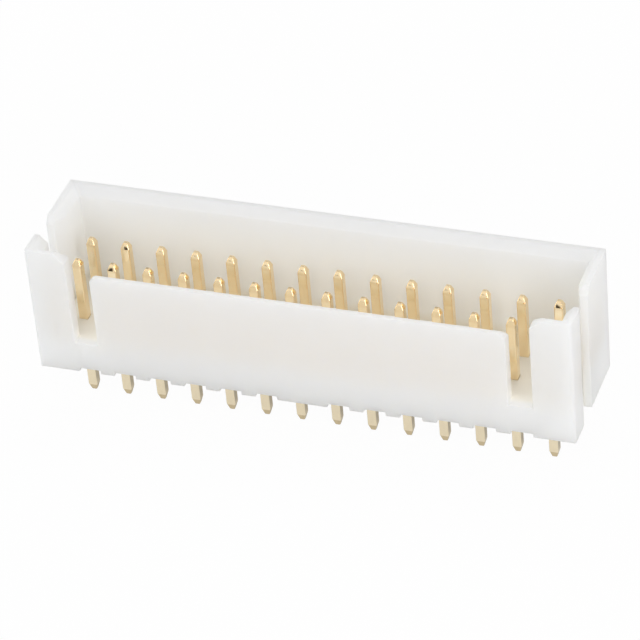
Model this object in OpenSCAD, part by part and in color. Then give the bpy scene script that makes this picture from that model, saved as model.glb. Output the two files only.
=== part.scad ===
// Two-row shrouded board header with square contact pins.
// Millimetres, +Z is the direction in which the plug comes off.
// The origin lies on the board, at the centre of the pin grid.
// The front wall, with its two latch slots, faces -Y.

/* [Contacts] */
// Number of contact columns along a row
columns = 14; // [4:1:20]
// Distance between neighbouring columns
pitch = 2; // [1.8:0.05:2.5]
// Distance between the front and the rear row
row_gap = 2; // [1.7:0.05:2.4]
// Width of a square contact pin
pin_w = 0.5; // [0.4:0.02:0.64]
// Height of the pin tips above the board
tip_z = 5.7; // [4.5:0.1:6.2]
// Length of the solder tails below the board
tail_len = 2.95; // [2:0.05:4]
// Height of the taper at a pin tip
tip_taper = 0.42; // [0.2:0.02:0.6]
// Width of the flat left at a pin tip
tip_flat = 0.2; // [0.1:0.02:0.36]
// Height of the taper at the end of a tail
tail_taper = 0.46; // [0.2:0.02:0.6]
// Width of the flat left at the end of a tail
tail_flat = 0.26; // [0.1:0.02:0.36]
// Gap on each side between a pin and its hole in the floor
pin_fit = 0.01; // [0.005:0.005:0.03]

/* [Shroud] */
// Distance from the last column to the outside of the end wall
end_margin = 1.9; // [1.7:0.05:2.4]
// Depth of the shroud from front to back
shroud_d = 6.8; // [6.4:0.1:8]
// Height of the shroud above the board
shroud_h = 7.6; // [7.2:0.1:9]
// Thickness of the walls
wall = 0.75; // [0.65:0.05:1]
// Height of the floor's upper face above the board
floor_z = 1.9; // [1.4:0.1:2.6]
// Width of the flat rim on top of the walls
rim_w = 0.3; // [0.15:0.05:0.45]
// Height of the lead-in slope inside the rim
lead_h = 0.5; // [0.3:0.05:0.9]

/* [Front wall] */
// Width of each latch slot
slot_w = 1.3; // [1:0.05:1.6]
// Height of the panel between the slots above the board
panel_h = 6.4; // [5:0.1:6.8]
// Chamfer on the panel's upper corners
panel_corner = 0.28; // [0.1:0.02:0.5]
// Chamfer on the upper corner of each pillar beside a slot
pillar_corner = 0.6; // [0.2:0.05:0.9]

/* [End walls] */
// Depth of the corner pillar from the front to the key slot
pillar_d = 1.6; // [1.2:0.05:2]
// Width of the key slot at the outside of the wall
key_w = 1.5; // [1:0.05:1.8]
// Depth of the straight outer part of the slot's rear side
key_land = 0.45; // [0.2:0.05:0.55]
// Set-back of the slot's rear side at the inside of the wall
key_flare = 0.95; // [0.3:0.05:1.2]
// Depth of the bevel on top of the slot's rear side
key_bevel_d = 0.36; // [0.1:0.02:0.5]
// Height of the bevel on top of the slot's rear side
key_bevel_h = 0.42; // [0.1:0.02:0.6]

/* [Underside] */
// Width of the standoff rib under each column
rib_w = 0.8; // [0.6:0.05:1.2]
// Height of the standoff ribs
rib_h = 0.22; // [0.1:0.02:0.4]

/* [Hidden] */
row_l = (columns - 1) * pitch;
shroud_l = row_l + 2 * end_margin;
// Outer faces of the shroud
end_x = shroud_l / 2;
back_y = shroud_d / 2;
front_y = -shroud_d / 2;
// Inner faces of the walls
inner_x = end_x - wall;
inner_back_y = back_y - wall;
inner_front_y = front_y + wall;
// Edges of the latch slots, each midway between the last two columns
slot_x = row_l / 2 - pitch / 2;
slot_in_x = slot_x - slot_w / 2;
slot_out_x = slot_x + slot_w / 2;
// Front and rear side of the key slots
key_front_y = front_y + pillar_d;
key_rear_y = key_front_y + key_w;
// Overshoot of a cut beyond the face that it opens
over = 0.5;

function col_x(i) = (i - 1) * pitch - row_l / 2;
function numbered(stem, i) = str(stem, i < 10 ? "_0" : "_", i);

FRONT_PINS = [for (i = [1:columns]) numbered("front_pin", i)];
REAR_PINS = [for (i = [1:columns]) numbered("rear_pin", i)];

// A box given by its two opposite corners
module span(low, high) {
    translate(low) cube(high - low);
}

// An outline in the YZ plane, extruded along X between two places
module along_x(from, to) {
    translate([from, 0, 0]) rotate([90, 0, 90]) linear_extrude(to - from) children();
}

// An outline in the XZ plane, extruded along Y between two places
module along_y(from, to) {
    translate([0, to, 0]) rotate([90, 0, 0]) linear_extrude(to - from) children();
}

// The hollow above the floor, with straight walls
module cavity() {
    span([-inner_x, inner_front_y, floor_z], [inner_x, inner_back_y, shroud_h + over]);
}

// Outline of a mouth that widens upwards by the lead-in, from low_side to high_side
module mouth_outline(low_side, high_side, low_rim, high_rim) {
    polygon([
        [low_side, shroud_h - lead_h], [high_side, shroud_h - lead_h],
        [high_rim, shroud_h], [high_rim, shroud_h + over],
        [low_rim, shroud_h + over], [low_rim, shroud_h]]);
}

// Four lead-in slopes inside the rim, mitred at the corners
module lead_in() {
    intersection() {
        along_x(-end_x, end_x)
            mouth_outline(inner_front_y, inner_back_y, front_y + rim_w, back_y - rim_w);
        along_y(front_y, back_y)
            mouth_outline(-inner_x, inner_x, rim_w - end_x, end_x - rim_w);
    }
}

// One half of what is cut from the front wall, seen from the front
module front_half_outline() {
    polygon([
        [0, panel_h], [slot_in_x - panel_corner, panel_h],
        [slot_in_x, panel_h - panel_corner], [slot_in_x, floor_z],
        [slot_out_x, floor_z], [slot_out_x, shroud_h - pillar_corner],
        [slot_out_x + pillar_corner, shroud_h], [slot_out_x + pillar_corner, shroud_h + over],
        [0, shroud_h + over]]);
}

// The latch slots and the space above the panel
module front_opening() {
    along_y(front_y - over, inner_front_y + over)
        union() {
            front_half_outline();
            mirror([1, 0]) front_half_outline();
        }
}

// Lead-in slope along the inside of the panel's upper edge
module panel_lead_in() {
    along_x(-slot_in_x, slot_in_x)
        polygon([
            [front_y + rim_w, panel_h], [inner_front_y, panel_h - lead_h],
            [inner_front_y, panel_h]]);
}

// Plan outline of the key slot in the right end wall
module key_outline() {
    polygon([
        [end_x + over, key_front_y], [end_x + over, key_rear_y],
        [end_x - key_land, key_rear_y], [inner_x, key_rear_y + key_flare],
        [inner_x, key_front_y]]);
}

// The key slot in the right end wall, with the bevel on top of its rear side
module key_slot() {
    translate([0, 0, -over]) linear_extrude(shroud_h + 2 * over) key_outline();
    along_x(inner_x, end_x + over)
        polygon([
            [key_rear_y, shroud_h - key_bevel_h], [key_rear_y + key_bevel_d, shroud_h],
            [key_rear_y + key_bevel_d, shroud_h + over], [key_rear_y, shroud_h + over]]);
}

// Grooves across the underside that leave a standoff rib under each column.
// No groove lies on the centre line, so the middle rib reaches under two columns.
module underside_grooves() {
    groove_w = pitch - rib_w;
    for (i = [1:columns - 1])
        if (2 * i != columns)
            span([col_x(i) + (pitch - groove_w) / 2, front_y - over, -over],
                 [col_x(i) + (pitch + groove_w) / 2, back_y + over, rib_h]);
}

// Square holes through the floor, one for each pin
module pin_holes() {
    hole = pin_w / 2 + pin_fit;
    for (i = [1:columns], y = [-row_gap / 2, row_gap / 2])
        span([col_x(i) - hole, y - hole, -over], [col_x(i) + hole, y + hole, floor_z + over]);
}

module housing() {
    color("ivory")
        difference() {
            span([-end_x, front_y, 0], [end_x, back_y, shroud_h]);
            cavity();
            lead_in();
            front_opening();
            panel_lead_in();
            key_slot();
            mirror([1, 0, 0]) key_slot();
            underside_grooves();
            pin_holes();
        }
}

// Side view of a pin, tapered at both ends
module pin_outline() {
    polygon([
        [-tail_flat / 2, -tail_len], [tail_flat / 2, -tail_len],
        [pin_w / 2, tail_taper - tail_len], [pin_w / 2, tip_z - tip_taper],
        [tip_flat / 2, tip_z], [-tip_flat / 2, tip_z],
        [-pin_w / 2, tip_z - tip_taper], [-pin_w / 2, tail_taper - tail_len]]);
}

// A square pin, tapered on all four sides at both ends
module pin(i, y) {
    color("gold")
        translate([col_x(i), y, 0])
            intersection() {
                along_x(-pin_w / 2, pin_w / 2) pin_outline();
                along_y(-pin_w / 2, pin_w / 2) pin_outline();
            }
}

housing();
for (i = [1:columns]) {
    pin(i, -row_gap / 2);
    pin(i, row_gap / 2);
}
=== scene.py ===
"""Dresses a two-row shrouded board header: a white nylon shroud round two rows of gold pins.

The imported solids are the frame. The shroud is their housing with its moulded edges softened, each pin
is a drawn square wire with coined ends, and the studio is a white floor under soft light.
"""

import logging
import math
import random
from dataclasses import dataclass
from enum import Enum
from typing import Any, Callable, Optional, Union

import bmesh
import bpy
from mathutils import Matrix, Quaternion, Vector


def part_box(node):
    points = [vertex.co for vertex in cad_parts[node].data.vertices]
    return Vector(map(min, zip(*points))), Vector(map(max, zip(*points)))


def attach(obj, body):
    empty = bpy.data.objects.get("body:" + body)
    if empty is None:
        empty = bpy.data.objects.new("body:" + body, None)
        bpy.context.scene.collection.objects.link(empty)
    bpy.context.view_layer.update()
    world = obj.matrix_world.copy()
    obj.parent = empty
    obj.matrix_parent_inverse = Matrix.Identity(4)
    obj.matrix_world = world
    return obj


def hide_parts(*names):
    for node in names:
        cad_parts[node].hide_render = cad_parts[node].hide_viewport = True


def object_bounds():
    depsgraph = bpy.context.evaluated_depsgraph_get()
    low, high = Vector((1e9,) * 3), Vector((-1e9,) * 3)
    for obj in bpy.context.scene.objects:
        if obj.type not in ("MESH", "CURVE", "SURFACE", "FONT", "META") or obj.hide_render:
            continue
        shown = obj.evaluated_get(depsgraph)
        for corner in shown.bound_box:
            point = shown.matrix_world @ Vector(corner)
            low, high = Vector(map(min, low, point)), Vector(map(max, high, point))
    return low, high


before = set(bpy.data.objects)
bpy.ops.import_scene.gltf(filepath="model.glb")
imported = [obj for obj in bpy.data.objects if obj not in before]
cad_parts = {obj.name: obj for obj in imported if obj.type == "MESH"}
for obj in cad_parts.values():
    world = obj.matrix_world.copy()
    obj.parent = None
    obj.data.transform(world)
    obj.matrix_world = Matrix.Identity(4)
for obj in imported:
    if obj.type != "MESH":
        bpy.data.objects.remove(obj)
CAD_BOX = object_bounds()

MM = 0.001
BODY = "root"
WHITE = (1.0, 1.0, 1.0)
LOG = logging.getLogger("header")

Colour = tuple[float, float, float]
Place = tuple[float, float, float]
Span = tuple[float, float]
Operand = Union["Signal", float]


class Row(Enum):
    """The two rows of pins, named as their nodes are."""

    FRONT = "front"
    REAR = "rear"


class Slot(Enum):
    """The record's material slots."""

    HOUSING = "housing"
    PINS = "pins"


class Kind(Enum):
    """What can be picked on a mesh, with the name of its list there."""

    FACE = "faces"
    EDGE = "edges"


class Signal:
    """The output socket of a node, on which Python arithmetic works."""

    def __init__(self, graph: "ShaderGraph", socket: bpy.types.NodeSocket) -> None:
        """Keeps the socket and the graph that it belongs to."""
        self.graph = graph
        self.socket = socket

    def __add__(self, other: Operand) -> "Signal":
        """Adds another signal or a number."""
        return self.graph.maths("ADD", self, other)

    def __radd__(self, other: Operand) -> "Signal":
        """Adds to a number on the left."""
        return self.graph.maths("ADD", other, self)

    def __sub__(self, other: Operand) -> "Signal":
        """Takes another signal or a number away."""
        return self.graph.maths("SUBTRACT", self, other)

    def __rsub__(self, other: Operand) -> "Signal":
        """Is taken away from a number on the left."""
        return self.graph.maths("SUBTRACT", other, self)

    def __mul__(self, other: Operand) -> "Signal":
        """Multiplies by another signal or a number."""
        return self.graph.maths("MULTIPLY", self, other)

    def __rmul__(self, other: Operand) -> "Signal":
        """Multiplies a number on the left."""
        return self.graph.maths("MULTIPLY", other, self)

    def __abs__(self) -> "Signal":
        """Drops the sign."""
        return self.graph.maths("ABSOLUTE", self)

    def __or__(self, other: Operand) -> "Signal":
        """Gives the larger of two masks."""
        return self.graph.maths("MAXIMUM", self, other)

    def rise(self, low: float, high: float) -> "Signal":
        """Goes smoothly from 0 at low to 1 at high.

        Args:
            low: the value at which the result leaves 0.
            high: the value at which the result reaches 1.

        Returns:
            The smoothed signal.
        """
        node = self.graph.node("ShaderNodeMapRange", {"interpolation_type": "SMOOTHSTEP"},
                               {"Value": self, "From Min": low, "From Max": high})
        return self.graph.out(node, "Result")


class ShaderGraph:
    """A material's or a world's node tree, and the means to add to it."""

    def __init__(self, tree: bpy.types.NodeTree) -> None:
        """Empties the tree, so that it holds only what is added here."""
        self.tree = tree
        self.tree.nodes.clear()

    def node(self, kind: str, settings: Optional[dict[str, Any]] = None,
             sockets: Optional[dict[Union[str, int], Any]] = None) -> bpy.types.Node:
        """Adds one node.

        Args:
            kind: the type of the node.
            settings: its properties, which are set first.
            sockets: values or signals for its inputs, by name or number.

        Returns:
            The new node.
        """
        node = self.tree.nodes.new(kind)
        for name, value in (settings or {}).items():
            setattr(node, name, value)
        for key, value in (sockets or {}).items():
            if isinstance(value, Signal):
                self.tree.links.new(value.socket, node.inputs[key])
            else:
                node.inputs[key].default_value = value
        return node

    def out(self, node: bpy.types.Node, key: Union[str, int] = 0) -> Signal:
        """Gives a node's output as a signal."""
        return Signal(self, node.outputs[key])

    def maths(self, operation: str, *operands: Operand) -> Signal:
        """Adds a Math node on signals and numbers."""
        return self.out(self.node("ShaderNodeMath", {"operation": operation}, dict(enumerate(operands))))

    def mix(self, factor: Operand, low: Union[Signal, Colour], high: Union[Signal, Colour]) -> Signal:
        """Mixes two colours.

        Args:
            factor: 0 for the first colour, 1 for the second.
            low: the first colour.
            high: the second colour.

        Returns:
            The mixed colour.
        """
        colours = [c if isinstance(c, Signal) else (*c, 1.0) for c in (low, high)]
        node = self.node("ShaderNodeMix", {"data_type": "RGBA"}, {0: factor, 6: colours[0], 7: colours[1]})
        return self.out(node, 2)

    def blend(self, factor: Operand, low: bpy.types.Node, high: bpy.types.Node) -> bpy.types.Node:
        """Mixes two shaders, the first where the factor is 0 and the second where it is 1."""
        return self.node("ShaderNodeMixShader", None, {0: factor, 1: self.out(low), 2: self.out(high)})

    def place(self) -> tuple[Signal, Signal, Signal, Signal]:
        """Reads the place on the piece.

        Returns:
            The place as a vector in metres, and its x, y and z in millimetres.
        """
        vector = self.out(self.node("ShaderNodeTexCoord"), "Object")
        axes = self.node("ShaderNodeSeparateXYZ", None, {0: vector})
        return (vector, *(self.out(axes, k) * (1 / MM) for k in range(3)))

    def rays(self) -> tuple[Signal, Signal]:
        """Tells what is seen straight from what is seen in metal or glass.

        Returns:
            A mask of the camera's own rays, and a mask of mirrored and refracted rays.
        """
        path = self.node("ShaderNodeLightPath")
        mirrored = self.out(path, "Is Glossy Ray") | self.out(path, "Is Transmission Ray")
        return self.out(path, "Is Camera Ray"), mirrored

    def noise(self, vector: Signal, grain: float, detail: float = 2.0,
              stretch: Place = (1.0, 1.0, 1.0)) -> Signal:
        """Adds a soft noise.

        Args:
            vector: the place in metres.
            grain: the size of its blotches in metres.
            detail: the number of finer layers.
            stretch: the factor by which the place is scaled along each axis.

        Returns:
            The noise, about 0.5 on average.
        """
        mapped = self.out(self.node("ShaderNodeMapping", None, {"Vector": vector, "Scale": stretch}))
        node = self.node("ShaderNodeTexNoise", None, {"Vector": mapped, "Scale": 1 / grain, "Detail": detail})
        return self.out(node, 0)

    def bump(self, height: Signal, depth: float, strength: float) -> Signal:
        """Turns a height of 0 to 1 into a normal, for a relief of that depth in metres."""
        return self.out(self.node("ShaderNodeBump", None, {
            "Height": height, "Distance": depth, "Strength": strength}))


def new_material(name: str) -> tuple[bpy.types.Material, ShaderGraph]:
    """Makes an empty material.

    Args:
        name: the material's name.

    Returns:
        The material and its graph.
    """
    material = bpy.data.materials.new(name)
    material.use_nodes = True
    return material, ShaderGraph(material.node_tree)


@dataclass(frozen=True)
class NylonFinish:
    """Natural white nylon: a satin skin and a little light inside, with painted light in the hollow, which
    turns brighter and warmer towards its bottom, and painted shade and warm light on its floor.

    A span is where a soft change starts and ends on the piece, in millimetres.

    Attributes:
        skin: the colour of the outside.
        cloudy: the colour of the faint clouds in the skin.
        hollow_painted_light: painted light, the brighter and warmer colour at the bottom of the hollow.
        dense: the colour of the thick floor, with painted shade and warm light, darker and warmer than the
            hollow's walls.
        wall: the thickness of the walls round the hollow in millimetres.
        fade: the width over which the hollow's looks turn into the outside's, in millimetres.
        hollow_painted_light_z: the heights from all of that painted light to none of it.
        dense_z: the heights from the thick floor to the thin walls.
        dense_ends: how dense the two ends of the floor are.
        dense_back: how dense the back wall is.
        back_y: the places from the middle to the back wall.
        back_z: the heights over which the back wall's density goes.
        glow: the share of light that goes under the skin.
        glow_reach: how far light goes under the skin.
        glow_radius: the share of that reach for red, green and blue.
        ior: the index of refraction.
        cloud_size: the size of the clouds.
        cloud_detail: the number of finer layers in the clouds.
        cloud_band: the part of the noise over which a cloud sets in.
        grain_size: the size of the mould's grain.
        grain_depth: the depth of the mould's grain.
        grain_strength: how strongly the grain shows.
        roughness: the roughness of the clear skin.
        cloud_haze: the roughness that clouds add.
        grain_haze: the roughness that the grain adds.
    """

    skin: Colour = (0.943, 0.951, 0.944)
    cloudy: Colour = (0.938, 0.946, 0.939)
    hollow_painted_light: Colour = (0.997, 0.987, 0.945)
    dense: Colour = (0.972, 0.95, 0.885)
    wall: float = 0.75
    fade: float = 0.6
    hollow_painted_light_z: Span = (1.9, 7.4)
    dense_z: Span = (1.9, 3.0)
    dense_ends: float = 0.5
    dense_back: float = 0.55
    back_y: Span = (0.0, 2.2)
    back_z: Span = (5.6, 7.4)
    glow: float = 1.0
    glow_reach: float = 5.5 * MM
    glow_radius: Colour = (1.0, 0.95, 0.85)
    ior: float = 1.53
    cloud_size: float = 1.8 * MM
    cloud_detail: float = 3.0
    cloud_band: Span = (0.3, 0.7)
    grain_size: float = 0.09 * MM
    grain_depth: float = 0.004 * MM
    grain_strength: float = 0.35
    roughness: float = 0.38
    cloud_haze: float = 0.12
    grain_haze: float = 0.08

    def material(self) -> bpy.types.Material:
        """Makes the material.

        Returns:
            A material whose pattern lies on the place on the piece.
        """
        material, graph = new_material("natural_nylon")
        vector, x, y, z = graph.place()
        hollow_x = CAD_BOX[1].x / MM - self.wall
        hollow_y = CAD_BOX[1].y / MM - self.wall
        between = 1 - abs(y).rise(hollow_y, hollow_y + self.fade)
        inside = between * (1 - abs(x).rise(hollow_x, hollow_x + self.fade))
        low = 1 - z.rise(*self.dense_z)
        clouds = graph.noise(vector, self.cloud_size, self.cloud_detail)
        grain = graph.noise(vector, self.grain_size)
        skin = graph.mix(clouds.rise(*self.cloud_band), self.skin, self.cloudy)
        # Painted light: the hollow's colour turns brighter and warmer towards its bottom, standing in for the
        # light that the gold pins and the walls throw about inside it.
        colour = graph.mix(inside * (1 - z.rise(*self.hollow_painted_light_z)), skin, self.hollow_painted_light)
        surface = {
            "Base Color": colour,
            "Roughness": self.roughness + self.cloud_haze * clouds + self.grain_haze * grain,
            "Normal": graph.bump(grain, self.grain_depth, self.grain_strength),
            "IOR": self.ior,
        }
        glowing = graph.node("ShaderNodeBsdfPrincipled", None, {
            **surface,
            "Subsurface Weight": self.glow,
            "Subsurface Scale": self.glow_reach,
            "Subsurface Radius": self.glow_radius,
        })
        # The thick floor's colour holds painted shade and warm light: it is darker and warmer than the hollow
        # above it, for the pins' shade and the gold light they throw down.
        dense = graph.node("ShaderNodeBsdfPrincipled", None, {
            **surface,
            "Base Color": graph.mix(inside * low, colour, self.dense),
        })
        floor = (inside + self.dense_ends * (between - inside)) * low
        back = self.dense_back * inside * y.rise(*self.back_y) * (1 - z.rise(*self.back_z))
        shader = graph.blend(floor | back, glowing, dense)
        graph.node("ShaderNodeOutputMaterial", None, {"Surface": graph.out(shader)})
        return material


@dataclass(frozen=True)
class GoldFinish:
    """Bright gold plating over drawn wire, paler on the solder tails, with painted shade that darkens the
    tips and the tails' tapered ends.

    A span is where a soft change starts and ends on the pin, in millimetres.

    Attributes:
        plug_end: the colour of the upper end, which the plug takes.
        tail_end: the colour of the solder tail.
        plating_z: the heights from the tail's colour to the upper end's.
        cut_end_and_shade: the darker colour at the tail's end, bare metal on the cut face and a painted
            reflection of the shade under the tail on its taper.
        cut_and_shade_z: the heights from that darker end to the plating.
        rubbed: the colour of rubbed patches.
        rubbed_share: how strongly the patches show.
        patch_size: the size of the patches.
        patch_band: the part of the noise over which a patch sets in.
        tip_painted_shade: painted shade, the darker colour of the coined tip that holds down the bright
            reflections there.
        struck_z: the heights from the shaft to the coined tip.
        satin: the roughness of the shaft.
        polished: the roughness of the coined tip.
        line_haze: the roughness that draw lines add.
        line_size: the distance between draw lines.
        line_stretch: the scale of the draw lines along each axis.
        line_depth: the depth of the draw lines.
        line_strength: how strongly the draw lines show.
    """

    plug_end: Colour = (0.99, 0.81, 0.53)
    tail_end: Colour = (0.96, 0.84, 0.62)
    plating_z: Span = (-0.4, 1.9)
    cut_end_and_shade: Colour = (0.72, 0.60, 0.40)
    cut_and_shade_z: Span = (-2.60, -2.52)
    rubbed: Colour = (0.99, 0.87, 0.64)
    rubbed_share: float = 0.5
    patch_size: float = 0.4 * MM
    patch_band: Span = (0.45, 0.8)
    tip_painted_shade: Colour = (0.91, 0.72, 0.445)
    struck_z: Span = (5.15, 5.35)
    satin: float = 0.07
    polished: float = 0.04
    line_haze: float = 0.06
    line_size: float = 0.05 * MM
    line_stretch: Place = (1.0, 1.0, 0.04)
    line_depth: float = 0.0015 * MM
    line_strength: float = 0.3

    def material(self) -> bpy.types.Material:
        """Makes the material.

        Returns:
            A material with fine draw lines along the pin.
        """
        material, graph = new_material("gold_plating")
        vector, _, _, z = graph.place()
        lines = graph.noise(vector, self.line_size, stretch=self.line_stretch)
        patches = graph.noise(vector, self.patch_size)
        tip = z.rise(*self.struck_z)
        plating = graph.mix(z.rise(*self.plating_z), self.tail_end, self.plug_end)
        worn = graph.mix(patches.rise(*self.patch_band) * self.rubbed_share, plating, self.rubbed)
        # Painted shade: the tip's colour turns darker, which holds down the bright reflections it catches.
        tipped = graph.mix(tip, worn, self.tip_painted_shade)
        # Darker at the tail's end: bare metal on the cut face, and a painted reflection of the shade under
        # the tail on its taper.
        colour = graph.mix(z.rise(*self.cut_and_shade_z), self.cut_end_and_shade, tipped)
        shader = graph.node("ShaderNodeBsdfPrincipled", None, {
            "Base Color": colour,
            "Metallic": 1.0,
            "Roughness": self.satin + self.line_haze * lines - (self.satin - self.polished) * tip,
            "Normal": graph.bump(lines, self.line_depth, self.line_strength),
        })
        graph.node("ShaderNodeOutputMaterial", None, {"Surface": graph.out(shader)})
        return material


@dataclass(frozen=True)
class FloorFinish:
    """A matt white floor that the camera sees as nearly pure white, with a faint shadow.

    A span is where a soft change starts and ends on the floor, in millimetres.

    Attributes:
        paint: the colour that the floor throws back as light.
        seen_white: how white the camera sees the floor beside the object.
        mirrored_white: how white metal mirrors the floor.
        shadow: the distances from the object over which its shadow goes.
        table_end: the places in front of the object from the dark room to the white table.
        shade_front: the places under the object where its own shade sets in.
        shade_back: the places behind the object where that shade goes.
        shade_share: how dark metal mirrors that shade.
        dark_room_and_shade: the colour of the dark room past the table, and of the painted shade under the
            object that metal shows.
    """

    paint: Colour = (0.78, 0.78, 0.78)
    seen_white: float = 0.97
    mirrored_white: float = 0.4
    shadow: Span = (30.0, 70.0)
    table_end: Span = (-50.0, -35.0)
    shade_front: Span = (-1.4, 0.2)
    shade_back: Span = (3.4, 8.0)
    shade_share: float = 0.42
    dark_room_and_shade: Colour = (0.05, 0.045, 0.04)

    def material(self) -> bpy.types.Material:
        """Makes the material.

        Returns:
            A material that is white away from the object, with the object's shade and the table's end
            only in reflections.
        """
        material, graph = new_material("studio_floor")
        vector, _, y, _ = graph.place()
        camera, mirrored = graph.rays()
        length = graph.node("ShaderNodeVectorMath", {"operation": "LENGTH"}, {0: vector})
        away = (graph.out(length, "Value") * (1 / MM)).rise(*self.shadow)
        seen = camera * (self.seen_white + (1 - self.seen_white) * away)
        # Painted shade: under and just behind the object, metal sees the floor darkened towards the dark
        # colour.
        shade = self.shade_share * y.rise(*self.shade_front) * (1 - y.rise(*self.shade_back))
        matt = graph.node("ShaderNodeBsdfDiffuse", None, {"Color": (*self.paint, 1.0)})
        white = graph.node("ShaderNodeEmission", None, {"Color": (*WHITE, 1.0), "Strength": 1.0})
        dark = graph.node("ShaderNodeEmission", None, {"Color": (*self.dark_room_and_shade, 1.0), "Strength": 1.0})
        table = graph.blend(seen | mirrored * self.mirrored_white, matt, white)
        floor = graph.blend(mirrored * ((1 - y.rise(*self.table_end)) | shade), table, dark)
        graph.node("ShaderNodeOutputMaterial", None, {"Surface": graph.out(floor)})
        return material


class Bench:
    """One mesh object on the bench in edit mode, with what is picked on it."""

    def __init__(self, piece: bpy.types.Object) -> None:
        """Takes a piece onto the bench.

        Args:
            piece: the mesh object to work on, alone.
        """
        clear_selection()
        piece.select_set(True)
        bpy.context.view_layer.objects.active = piece
        bpy.ops.object.mode_set(mode="EDIT")
        self.piece = piece

    def pick(self, kind: Kind, test: Callable[[Any], bool]) -> int:
        """Selects the faces or edges that pass a test, and nothing else.

        Args:
            kind: what is picked.
            test: tells whether a face or an edge is wanted.

        Returns:
            The number of faces or edges picked.
        """
        bpy.ops.mesh.select_mode(type=kind.name)
        bpy.ops.mesh.select_all(action="DESELECT")
        shape = bmesh.from_edit_mesh(self.piece.data)
        picked = [element for element in getattr(shape, kind.value) if test(element)]
        for element in picked:
            element.select_set(True)
        bmesh.update_edit_mesh(self.piece.data)
        return len(picked)

    def done(self) -> bpy.types.Object:
        """Takes the piece off the bench."""
        bpy.ops.object.mode_set(mode="OBJECT")
        return self.piece


def clear_selection() -> None:
    """Deselects every object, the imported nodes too."""
    bpy.ops.object.select_all(action="DESELECT")


def own_copy(source: bpy.types.Object, name: str) -> bpy.types.Object:
    """Copies an object's mesh into a new object at the origin.

    Args:
        source: the object whose mesh is copied.
        name: the new object's name.

    Returns:
        The new object, with a mesh of its own.
    """
    mesh = source.data.copy()
    mesh.name = name
    mesh.materials.clear()
    piece = bpy.data.objects.new(name, mesh)
    bpy.context.scene.collection.objects.link(piece)
    return piece


def settle_normals(piece: bpy.types.Object, sharp_from: float, flat_weight: int = 100) -> None:
    """Shades the active piece so that its faces stay flat and its radii run smoothly into them.

    Args:
        piece: the active piece.
        sharp_from: the angle in degrees from which an edge stays sharp.
        flat_weight: how far the large faces lead, at most 100.
    """
    bpy.ops.object.shade_smooth_by_angle(angle=math.radians(sharp_from))
    even = piece.modifiers.new("even_normals", "WEIGHTED_NORMAL")
    even.weight = flat_weight
    even.keep_sharp = True
    bpy.ops.object.modifier_apply(modifier=even.name)


def install(piece: bpy.types.Object, node: str, finish: bpy.types.Material) -> None:
    """Puts a finished piece in the place of its node.

    Args:
        piece: the finished piece.
        node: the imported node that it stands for.
        finish: the material that it wears.
    """
    piece.data.materials.clear()
    piece.data.materials.append(finish)
    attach(piece, BODY)
    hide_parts(node)
    LOG.info("%s stands for %s: %d faces", piece.name, node, len(piece.data.polygons))


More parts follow.
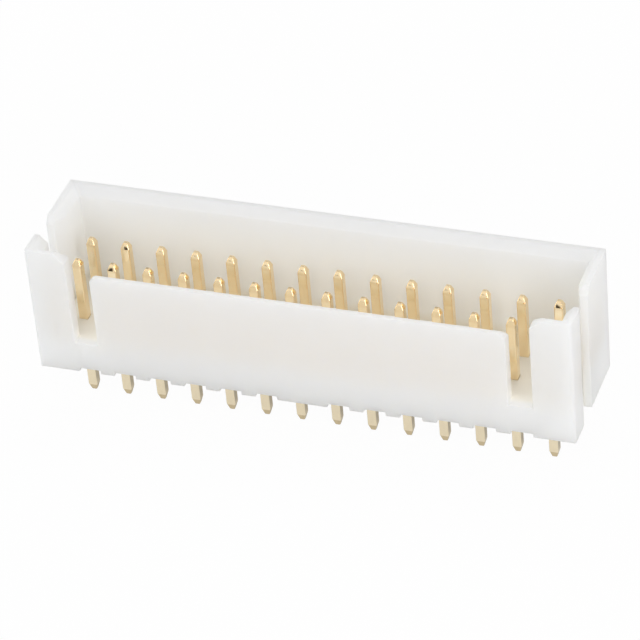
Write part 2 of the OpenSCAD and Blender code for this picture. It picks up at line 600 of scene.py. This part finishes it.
@dataclass
class Shroud:
    """The moulded housing, with the small radii that a mould leaves on its edges.

    Attributes:
        node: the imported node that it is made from.
        corner_radius: the radius of the front's two upright corners.
        rim_radius: the radius of the other outer edges.
        inner_radius: the radius of the inner edges.
        rounds: the number of faces round each radius.
        sharp_from: the angle in degrees from which an edge is shaded sharp.
        merge_gap: the gap under which two points are one.
        flat_angle: the angle in degrees under which neighbouring faces are one.
        sharp_angle: the angle in degrees over which an edge is rounded.
        hole_band: the distances from the middle between which the pins' holes lie.
        hole_height: the height under which the pins' holes lie.
        corner_height: the least height of an upright corner.
        touch: the distance within which an edge lies on a face.
    """

    node: str = "housing"
    corner_radius: float = 0.2 * MM
    rim_radius: float = 0.06 * MM
    inner_radius: float = 0.06 * MM
    rounds: int = 3
    sharp_from: float = 50.0
    merge_gap: float = 0.0005 * MM
    flat_angle: float = 1.0
    sharp_angle: float = 20.0
    hole_band: Span = (0.7 * MM, 1.3 * MM)
    hole_height: float = 2.0 * MM
    corner_height: float = 1.0 * MM
    touch: float = 0.01 * MM

    def build(self) -> bpy.types.Object:
        """Models the housing from a copy of its node.

        Returns:
            The housing with rounded edges.
        """
        piece = own_copy(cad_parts[self.node], "shroud")
        bench = Bench(piece)
        bpy.ops.mesh.select_all(action="SELECT")
        bpy.ops.mesh.remove_doubles(threshold=self.merge_gap)
        bpy.ops.mesh.dissolve_limited(angle_limit=math.radians(self.flat_angle))
        for radius, test in self._radii():
            count = bench.pick(Kind.EDGE, test)
            bpy.ops.transform.edge_bevelweight(value=radius / self.corner_radius)
            LOG.info("shroud: %d edges rounded to %.3f mm", count, radius / MM)
        bench.done()
        rounding = piece.modifiers.new("mould_radii", "BEVEL")
        rounding.limit_method = "WEIGHT"
        rounding.width = self.corner_radius
        rounding.segments = self.rounds
        rounding.use_clamp_overlap = False
        bpy.ops.object.modifier_apply(modifier=rounding.name)
        settle_normals(piece, self.sharp_from)
        return piece

    def _radii(self) -> tuple[tuple[float, Callable[[bmesh.types.BMEdge], bool]], ...]:
        """Sorts the edges by their radius.

        Returns:
            Each radius, with the test that an edge of that radius passes.
        """
        low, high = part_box(self.node)

        def sharp(edge: bmesh.types.BMEdge) -> bool:
            """Tells whether an edge turns enough to be rounded."""
            return edge.is_manifold and edge.calc_face_angle() > math.radians(self.sharp_angle)

        def middle(edge: bmesh.types.BMEdge) -> Vector:
            """Gives an edge's middle."""
            return (edge.verts[0].co + edge.verts[1].co) / 2

        def height(edge: bmesh.types.BMEdge) -> float:
            """Gives the height that an edge spans."""
            return abs(edge.verts[0].co.z - edge.verts[1].co.z)

        def near(place: float, face: float) -> bool:
            """Tells whether a place lies on a face."""
            return abs(place - face) < self.touch

        def at_hole(edge: bmesh.types.BMEdge) -> bool:
            """Tells whether an edge belongs to a pin's hole in the floor."""
            spot = middle(edge)
            return self.hole_band[0] < abs(spot.y) < self.hole_band[1] and spot.z < self.hole_height \
                and edge.calc_length() < self.hole_height

        def at_corner(edge: bmesh.types.BMEdge) -> bool:
            """Tells whether an edge is an upright corner of the front."""
            spot = middle(edge)
            return height(edge) > self.corner_height and near(abs(spot.x), high.x) and near(spot.y, low.y)

        def at_outside(edge: bmesh.types.BMEdge) -> bool:
            """Tells whether an edge lies on the outside of the housing."""
            spot = middle(edge)
            return near(abs(spot.x), high.x) or near(abs(spot.y), high.y) or near(spot.z, high.z)

        return (
            (self.corner_radius, lambda edge: sharp(edge) and at_corner(edge)),
            (self.rim_radius, lambda edge: sharp(edge) and at_outside(edge) and not at_corner(edge)),
            (self.inner_radius, lambda edge: sharp(edge) and not at_hole(edge) and not at_outside(edge)),
        )

    def dress(self, piece: bpy.types.Object, finish: NylonFinish) -> None:
        """Puts the housing in nylon."""
        install(piece, self.node, finish.material())


@dataclass
class PinField:
    """Two rows of square pins, one wire drawn once and copied into each place.

    Sizes of the ends are in millimetres.

    Attributes:
        columns: the number of pins in a row.
        edge_radius: the radius of the wire's long edges, in metres.
        rounds: the number of faces round that radius.
        sharp_from: the angle in degrees from which an edge is shaded sharp.
        taper_height: the height of the tip's straight taper.
        crown_height: the height of the domed crown on top of it.
        crown_half: half the width of the crown's foot.
        crown_flat: half the width of the flat on top of the crown.
        crown_curve: the power of the width by which the crown falls off.
        crown_steps: the number of rings of faces on the crown.
        tail_rings: the distance from the tail's end and the half width of each ring there.
        end_facing: how straight a face looks up or down to be an end, as a cosine.
        upright_share: the share of its length by which a long edge rises.
        sway: the most that a tip stands off centre.
        seed: the start of the random differences between pins.
    """

    columns: int = 14
    edge_radius: float = 0.05 * MM
    rounds: int = 6
    sharp_from: float = 16.0
    taper_height: float = 0.24
    crown_height: float = 0.10
    crown_half: float = 0.160
    crown_flat: float = 0.052
    crown_curve: float = 2.0
    crown_steps: int = 4
    tail_rings: tuple[Span, ...] = ((0.42, 0.250), (0.04, 0.145), (0.0, 0.105))
    end_facing: float = 0.9
    upright_share: float = 0.3
    sway: float = 0.012
    seed: int = 28

    def node(self, row: Row, column: int) -> str:
        """Names the node of one pin."""
        return f"{row.value}_pin_{column:02d}"

    def build(self) -> dict[str, bpy.types.Object]:
        """Models one pin and copies it to every place.

        Returns:
            The pins by the names of their nodes.
        """
        pattern = self._pattern()
        chance = random.Random(self.seed)
        pins = {}
        for row in Row:
            for column in range(1, self.columns + 1):
                node = self.node(row, column)
                pins[node] = self._copy(pattern, node, chance)
        bpy.data.objects.remove(pattern)
        return pins

    def _tip_rings(self, half: float) -> list[Span]:
        """Works out the rings of a tip, a straight taper under a domed crown.

        Args:
            half: half the shaft's width in millimetres.

        Returns:
            The depth below the end and the half width of each ring, from the shaft up.
        """
        rings = [(self.taper_height + self.crown_height, half)]
        for step in range(self.crown_steps, -1, -1):
            share = step / self.crown_steps
            rings.append((self.crown_height * share ** self.crown_curve,
                          self.crown_flat + (self.crown_half - self.crown_flat) * share))
        return rings

    def _pattern(self) -> bpy.types.Object:
        """Models a pin at its height, over the origin.

        Returns:
            The pin, which is copied into every place.
        """
        low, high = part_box(self.node(Row.FRONT, 1))
        width = high.x - low.x
        tip_rings = self._tip_rings(width / 2 / MM)
        foot = low.z + self.tail_rings[0][0] * MM
        head = high.z - tip_rings[0][0] * MM
        clear_selection()
        bpy.ops.mesh.primitive_cube_add(size=width, location=(0.0, 0.0, 0.0))
        pin = bpy.context.object
        pin.name = "pin_pattern"
        bench = Bench(pin)
        bpy.ops.mesh.select_all(action="SELECT")
        bpy.ops.transform.resize(value=(1.0, 1.0, (head - foot) / width), center_override=(0.0, 0.0, 0.0))
        bpy.ops.transform.translate(value=(0.0, 0.0, (head + foot) / 2))
        for rings, end, way in ((tip_rings, high.z, 1.0), (self.tail_rings, low.z, -1.0)):
            bench.pick(Kind.FACE, lambda face, way=way: face.normal.z * way > self.end_facing)
            for (back, half), (ahead, narrow) in zip(rings, rings[1:]):
                step = (back - ahead) * MM * way
                bpy.ops.mesh.extrude_region_move(TRANSFORM_OT_translate={"value": (0.0, 0.0, step)})
                bpy.ops.transform.resize(value=(narrow / half, narrow / half, 1.0),
                                         center_override=(0.0, 0.0, end - way * ahead * MM))
        bench.pick(Kind.EDGE, lambda edge: abs(edge.verts[0].co.z - edge.verts[1].co.z)
                   > self.upright_share * edge.calc_length())
        bpy.ops.mesh.bevel(offset=self.edge_radius, segments=self.rounds, clamp_overlap=True)
        bpy.ops.mesh.select_all(action="SELECT")
        bpy.ops.mesh.normals_make_consistent(inside=False)
        bench.done()
        settle_normals(pin, self.sharp_from)
        return pin

    def _copy(self, pattern: bpy.types.Object, node: str, chance: random.Random) -> bpy.types.Object:
        """Copies the pin into the place of a node, with its tip a hair off centre.

        Args:
            pattern: the pin over the origin.
            node: the node whose place it takes.
            chance: the source of the small differences between pins.

        Returns:
            The copy, with its place in its mesh.
        """
        low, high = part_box(node)
        pin = own_copy(pattern, node.replace("pin", "contact"))
        bench = Bench(pin)
        shoulder = high.z - (self.taper_height + self.crown_height) * MM
        bench.pick(Kind.FACE, lambda face: face.calc_center_median().z > shoulder)
        bpy.ops.transform.translate(value=(chance.uniform(-self.sway, self.sway) * MM,
                                           chance.uniform(-self.sway, self.sway) * MM, 0.0))
        bpy.ops.mesh.select_all(action="SELECT")
        bpy.ops.transform.translate(value=((low.x + high.x) / 2, (low.y + high.y) / 2, 0.0))
        return bench.done()

    def dress(self, pins: dict[str, bpy.types.Object], finish: GoldFinish) -> None:
        """Puts every pin in the same gold.

        Args:
            pins: the pins by the names of their nodes.
            finish: the gold that they wear.
        """
        gold = finish.material()
        for node, pin in pins.items():
            install(pin, node, gold)


@dataclass(frozen=True)
class Softbox:
    """One soft lamp, in millimetres and watts.

    Attributes:
        name: the lamp's name.
        place: where it hangs.
        width: its width.
        height: its height.
        power: its power.
        tint: the colour of its light.
        aim: what it is turned towards.
        mirrored: whether metal shows it.
    """

    name: str
    place: Place
    width: float
    height: float
    power: float
    tint: Colour = WHITE
    aim: Place = (0.0, 0.0, 3.0)
    mirrored: bool = False

    def hang(self) -> bpy.types.Object:
        """Hangs the lamp.

        Returns:
            The lamp, turned towards its aim.
        """
        spot = Vector(self.place) * MM
        turn = (Vector(self.aim) * MM - spot).to_track_quat("-Z", "Y")
        clear_selection()
        bpy.ops.object.light_add(type="AREA", location=spot, rotation=turn.to_euler())
        lamp = bpy.context.object
        lamp.name = self.name
        lamp.data.shape = "RECTANGLE"
        lamp.data.size = self.width * MM
        lamp.data.size_y = self.height * MM
        lamp.data.energy = self.power
        lamp.data.color = self.tint
        lamp.visible_glossy = self.mirrored
        return lamp


@dataclass(frozen=True)
class DarkPlace:
    """A dark place in the room that only metal shows.

    Attributes:
        toward: the way from the object to its middle.
        share: how dark it is.
        edge: the cosines of the angles from its middle at which it sets in and is at its darkest.
    """

    toward: Place
    share: float
    edge: Span


@dataclass(frozen=True)
class Studio:
    """A white floor, a pale room and soft lamps.

    Attributes:
        floor_radius: the radius of the floor in millimetres.
        floor_sides: the number of sides of the floor's outline.
        room_light: the strength of the room's own light.
        dark_tint: the colour of the dark places.
        dark_places: the dark places in the room.
        lamps: the lamps.
    """

    floor_radius: float = 450.0
    floor_sides: int = 128
    room_light: float = 0.535
    dark_tint: Colour = (0.06, 0.055, 0.05)
    dark_places: tuple[DarkPlace, ...] = (
        DarkPlace((-0.30, -0.95, -0.01), 1.0, (0.963, 0.980)),
        DarkPlace((-0.30, 0.75, 0.60), 0.55, (0.93, 0.98)),
    )
    lamps: tuple[Softbox, ...] = (
        Softbox("front_softbox", (30.0, -290.0, 210.0), 240.0, 200.0, 0.10, tint=(1.0, 1.0, 0.98)),
        Softbox("left_softbox", (-200.0, -220.0, 190.0), 160.0, 160.0, 0.225, tint=(0.94, 1.0, 1.0)),
        Softbox("left_strip", (-150.0, -30.0, 50.0), 36.0, 60.0, 0.015, aim=(-8.0, 0.0, 3.0), mirrored=True),
        Softbox("right_strip", (130.0, -88.0, 72.0), 36.0, 130.0, 0.09, aim=(8.0, 0.0, 3.0), mirrored=True),
        Softbox("back_softbox", (0.0, 160.0, 290.0), 220.0, 200.0, 0.26, tint=(1.0, 0.97, 0.94)),
    )

    def build(self, finish: FloorFinish) -> None:
        """Lays the floor under the pins' ends, lights the room and hangs the lamps.

        Args:
            finish: the floor's finish.
        """
        clear_selection()
        bpy.ops.mesh.primitive_circle_add(vertices=self.floor_sides, radius=self.floor_radius * MM,
                                          fill_type="NGON")
        floor = bpy.context.object
        floor.name = "studio_floor"
        bench = Bench(floor)
        bpy.ops.mesh.select_all(action="SELECT")
        bpy.ops.transform.translate(value=(0.0, 0.0, CAD_BOX[0].z))
        bench.done()
        floor.data.materials.append(finish.material())
        LOG.info("floor laid at %.2f mm", CAD_BOX[0].z / MM)
        self._room()
        for lamp in self.lamps:
            hung = lamp.hang()
            LOG.info("%s hung at %.3f W", hung.name, lamp.power)

    def _room(self) -> None:
        """Makes the room white to the eye, with dark places only in reflections."""
        world = bpy.data.worlds.new("pale_room")
        bpy.context.scene.world = world
        world.use_nodes = True
        graph = ShaderGraph(world.node_tree)
        camera, mirrored = graph.rays()
        way = graph.out(graph.node("ShaderNodeTexCoord"), "Generated")
        dark: Operand = 0.0
        for place in self.dark_places:
            aligned = graph.node("ShaderNodeVectorMath", {"operation": "DOT_PRODUCT"},
                                 {0: way, 1: Vector(place.toward).normalized()})
            dark = place.share * graph.out(aligned, "Value").rise(*place.edge) | dark
        light = graph.node("ShaderNodeBackground", None, {
            "Color": (*WHITE, 1.0), "Strength": self.room_light})
        seen = graph.node("ShaderNodeBackground", None, {
            "Color": graph.mix(dark * mirrored, WHITE, self.dark_tint), "Strength": 1.0})
        room = graph.blend(camera | mirrored, light, seen)
        graph.node("ShaderNodeOutputWorld", None, {"Surface": graph.out(room)})


@dataclass(frozen=True)
class PhotoCamera:
    """The camera at the photograph's place: angles in degrees, lengths in millimetres.

    Attributes:
        aim: the point that it looks at.
        azimuth: how far it stands to the right of the front.
        elevation: how far it looks down.
        roll: how far it is turned about its own axis.
        distance: how far it stands from its aim.
        lens: its focal length.
        sensor: the width of its sensor.
        clip: the nearest and the farthest distance that it sees, in metres.
    """

    aim: Place = (0.096, 0.0, 3.052)
    azimuth: float = 21.677
    elevation: float = 36.365
    roll: float = -5.356
    distance: float = 192.65
    lens: float = 205.57
    sensor: float = 36.0
    clip: Span = (0.01, 10.0)

    def stand(self) -> bpy.types.Object:
        """Stands the camera.

        Returns:
            The scene's camera.
        """
        side, rise = math.radians(self.azimuth), math.radians(self.elevation)
        back = Vector((math.sin(side) * math.cos(rise), -math.cos(side) * math.cos(rise), math.sin(rise)))
        spot = (Vector(self.aim) + back * self.distance) * MM
        turn = (-back).to_track_quat("-Z", "Y") @ Quaternion((0.0, 0.0, 1.0), math.radians(self.roll))
        clear_selection()
        bpy.ops.object.camera_add(location=spot, rotation=turn.to_euler())
        camera = bpy.context.object
        camera.data.lens = self.lens
        camera.data.sensor_width = self.sensor
        camera.data.clip_start, camera.data.clip_end = self.clip
        bpy.context.scene.camera = camera
        LOG.info("camera at %s", [round(v / MM, 2) for v in camera.location])
        return camera


def main() -> None:
    """Builds the header, its studio and its camera in order."""
    logging.basicConfig(level=logging.INFO, format="%(name)s: %(message)s")
    bpy.context.scene.view_settings.view_transform = "Standard"
    PhotoCamera().stand()
    shroud = Shroud()
    shroud.dress(shroud.build(), NylonFinish())
    pins = PinField()
    pins.dress(pins.build(), GoldFinish())
    Studio().build(FloorFinish())


if __name__ == "__main__":
    main()
